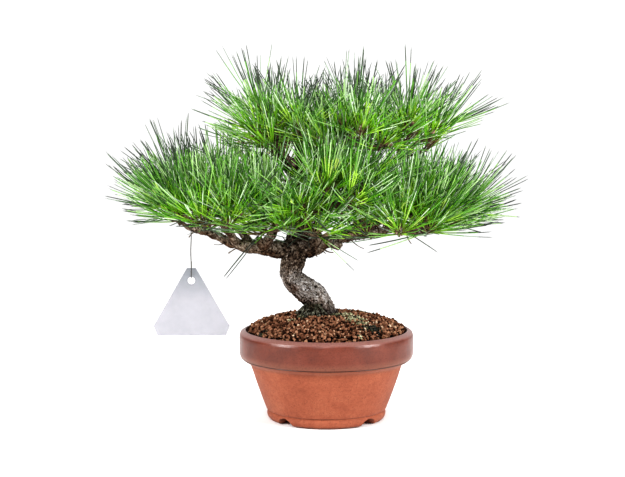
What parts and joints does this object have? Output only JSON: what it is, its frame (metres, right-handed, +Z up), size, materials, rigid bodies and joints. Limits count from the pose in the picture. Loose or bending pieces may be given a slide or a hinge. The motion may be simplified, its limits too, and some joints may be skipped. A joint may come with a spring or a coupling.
{
  "type": "japanese black pine bonsai",
  "caption": "Potted black pine bonsai: bent trunk, tapering boughs and masses of long needles over a round clay pot of granular soil, with a bare tag hanging on a wire.",
  "frame": {"origin": "on the surface the pot stands on, under the middle of the whole plant's box", "axes": "+Z up, +X to the tree's right seen from its front, the front of the tree faces -Y"},
  "size_m": [0.4749, 0.3422, 0.4211],
  "materials": {
    "clay": "matte fired clay, satin brown slip on the band",
    "soil": "reddish brown fired clay granules",
    "bark": "rough flaking bark",
    "needles": "satin green needles",
    "wire": "dark satin wire",
    "tag": "thin pale translucent sheet"
  },
  "bodies": {
    "plant": {"pot": "clay", "soil": "soil", "trunk": "bark", "bough_left": "bark", "bough_right": "bark", "bough_front": "bark", "bough_back": "bark", "bough_back_low": "bark", "bough_upper_right": "bark", "bough_upper_left": "bark", "bough_upper_back_right": "bark", "bough_upper_back_left": "bark", "bough_upper_front": "bark", "bough_left_front": "bark", "bough_left_back": "bark", "bough_left_inner": "bark", "bough_right_front": "bark", "bough_right_back": "bark", "bough_front_left": "bark", "needles_left_tip": "needles", "needles_left_front": "needles", "needles_left_back": "needles", "needles_left_inner": "needles", "needles_right_tip": "needles", "needles_right_front": "needles", "needles_right_back": "needles", "needles_front_centre": "needles", "needles_front_left": "needles", "needles_back_centre": "needles", "needles_back_low": "needles", "needles_upper_right": "needles", "needles_upper_left": "needles", "needles_top": "needles", "needles_upper_back_right": "needles", "needles_upper_back_left": "needles", "needles_upper_front": "needles", "tag_wire": "wire"},
    "tag": {"tag_plate": "tag"}
  },
  "joints": [
    {"name": "tag_swing", "type": "hinge", "parent": "plant", "child": "tag", "pos_m": [-0.1383, -0.007, 0.1638], "axis": [0, 1, 0], "range_deg": [-45, 45]}
  ]
}
